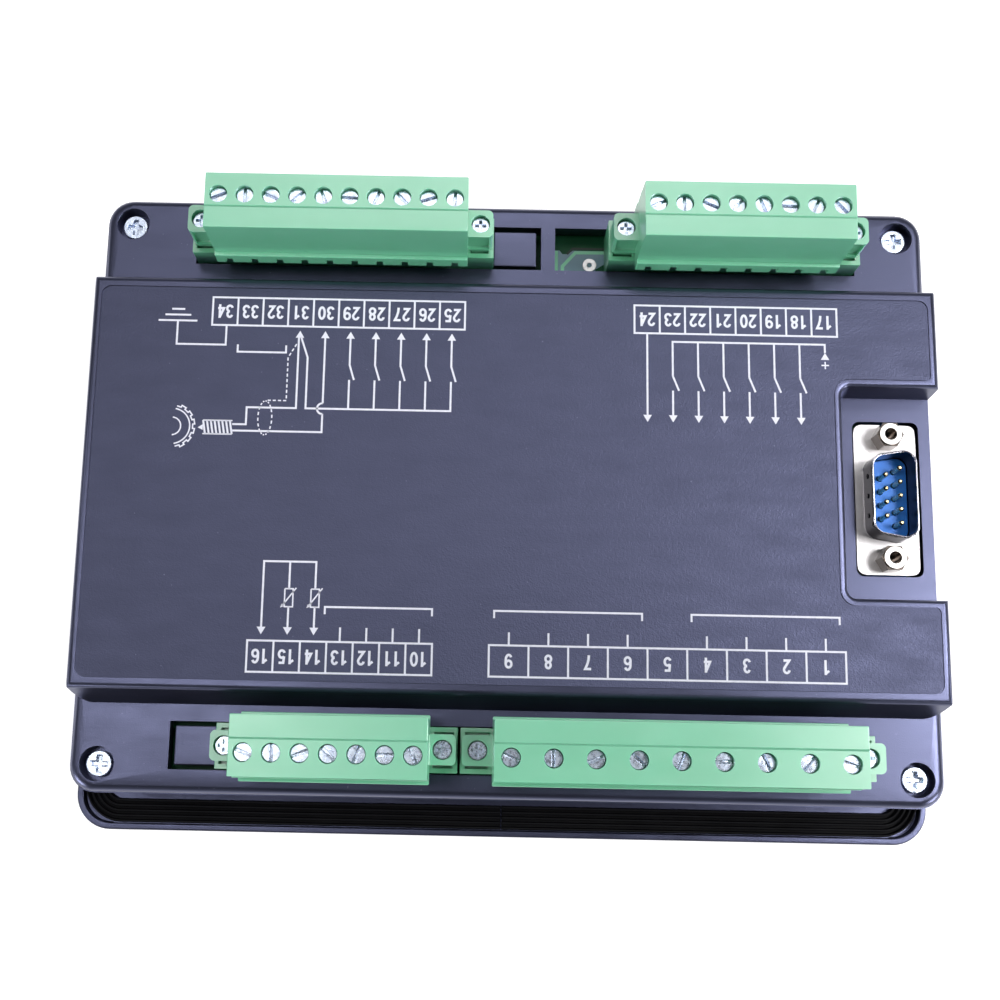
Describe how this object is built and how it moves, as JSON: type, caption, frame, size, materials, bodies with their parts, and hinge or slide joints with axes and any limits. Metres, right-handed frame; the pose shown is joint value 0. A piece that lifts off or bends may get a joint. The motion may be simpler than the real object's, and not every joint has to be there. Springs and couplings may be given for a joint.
{
  "type": "genset controller",
  "caption": "Panel-mounted generator-set controller with a bezel, gasket, push keys, display, pluggable screw terminal blocks and a serial port in its stepped rear housing.",
  "frame": {"origin": "middle of the bezel's front rim, on the plane that the controller rests on when it lies face down", "axes": "+X along the long side, +Y towards the row with the input and output terminals, +Z to the rear of the controller"},
  "size_m": [0.1856, 0.1392, 0.0674],
  "materials": {
    "nickel_plate": "nickel plated",
    "black_abs": "satin moulded texture",
    "gasket_rubber": "matte",
    "overlay_film": "satin printed film",
    "label_film": "fine matte film with pale print",
    "window_clear": "clear",
    "lcd_pane": "smooth",
    "zinc_steel": "zinc plated",
    "board_laminate": "solder mask",
    "lamp_lens": "smooth",
    "black_moulding": "satin",
    "key_red": "satin",
    "key_green": "satin",
    "key_pale": "satin",
    "key_dark": "satin",
    "tin_plate": "tin plated",
    "relay_blue": "smooth",
    "capacitor_sleeve": "shrink sleeve",
    "header_green": "satin",
    "plug_mint": "satin",
    "port_blue": "smooth",
    "contact_gold": "gold flash"
  },
  "bodies": {
    "controller": {"front_bezel": "black_abs", "panel_gasket": "gasket_rubber", "front_overlay": "overlay_film", "display_window": "window_clear", "lcd_glass": "lcd_pane", "lcd_frame": "zinc_steel", "display_board": "board_laminate", "display_board_screws": "zinc_steel", "status_leds": "lamp_lens", "light_pipes": "lamp_lens", "key_switches": "black_moulding", "link_socket": "black_moulding", "link_header": "black_moulding", "rear_housing": "black_abs", "rear_label": "label_film", "case_screws": "zinc_steel", "main_board": "board_laminate", "main_board_screws": "zinc_steel", "board_eyelet": "tin_plate", "relays": "relay_blue", "current_transformers": "black_moulding", "capacitors": "capacitor_sleeve", "processor": "black_moulding", "input_slot_blank": "black_abs", "sensor_slot_blank": "black_abs", "input_header": "header_green", "output_header": "header_green", "sensor_header": "header_green", "voltage_header": "header_green", "input_pins": "tin_plate", "output_pins": "tin_plate", "sensor_pins": "tin_plate", "voltage_pins": "tin_plate", "input_plug": "plug_mint", "output_plug": "plug_mint", "sensor_plug": "plug_mint", "voltage_plug": "plug_mint", "input_clamps": "zinc_steel", "output_clamps": "zinc_steel", "sensor_clamps": "zinc_steel", "voltage_clamps": "zinc_steel", "input_screws": "zinc_steel", "output_screws": "zinc_steel", "sensor_screws": "zinc_steel", "voltage_screws": "zinc_steel", "flange_screws": "zinc_steel", "port_shell": "tin_plate", "port_insulator": "port_blue", "port_pins": "contact_gold", "jackscrews": "nickel_plate"},
    "stop_key": {"key_stop": "key_red"},
    "manual_key": {"key_manual": "key_pale"},
    "auto_key": {"key_auto": "key_pale"},
    "test_key": {"key_test": "key_pale"},
    "start_key": {"key_start": "key_green"},
    "up_key": {"key_up": "key_dark"},
    "down_key": {"key_down": "key_dark"}
  },
  "joints": [
    {"name": "stop_press", "type": "slide", "parent": "controller", "child": "stop_key", "axis": [0, 0, 1], "range_m": [0, 0.0006], "stiffness_N_per_m": 600, "springref_m": -0.001},
    {"name": "manual_press", "type": "slide", "parent": "controller", "child": "manual_key", "axis": [0, 0, 1], "range_m": [0, 0.0006], "stiffness_N_per_m": 600, "springref_m": -0.001},
    {"name": "auto_press", "type": "slide", "parent": "controller", "child": "auto_key", "axis": [0, 0, 1], "range_m": [0, 0.0006], "stiffness_N_per_m": 600, "springref_m": -0.001},
    {"name": "test_press", "type": "slide", "parent": "controller", "child": "test_key", "axis": [0, 0, 1], "range_m": [0, 0.0006], "stiffness_N_per_m": 600, "springref_m": -0.001},
    {"name": "start_press", "type": "slide", "parent": "controller", "child": "start_key", "axis": [0, 0, 1], "range_m": [0, 0.0006], "stiffness_N_per_m": 600, "springref_m": -0.001},
    {"name": "up_press", "type": "slide", "parent": "controller", "child": "up_key", "axis": [0, 0, 1], "range_m": [0, 0.0006], "stiffness_N_per_m": 600, "springref_m": -0.001},
    {"name": "down_press", "type": "slide", "parent": "controller", "child": "down_key", "axis": [0, 0, 1], "range_m": [0, 0.0006], "stiffness_N_per_m": 600, "springref_m": -0.001}
  ]
}
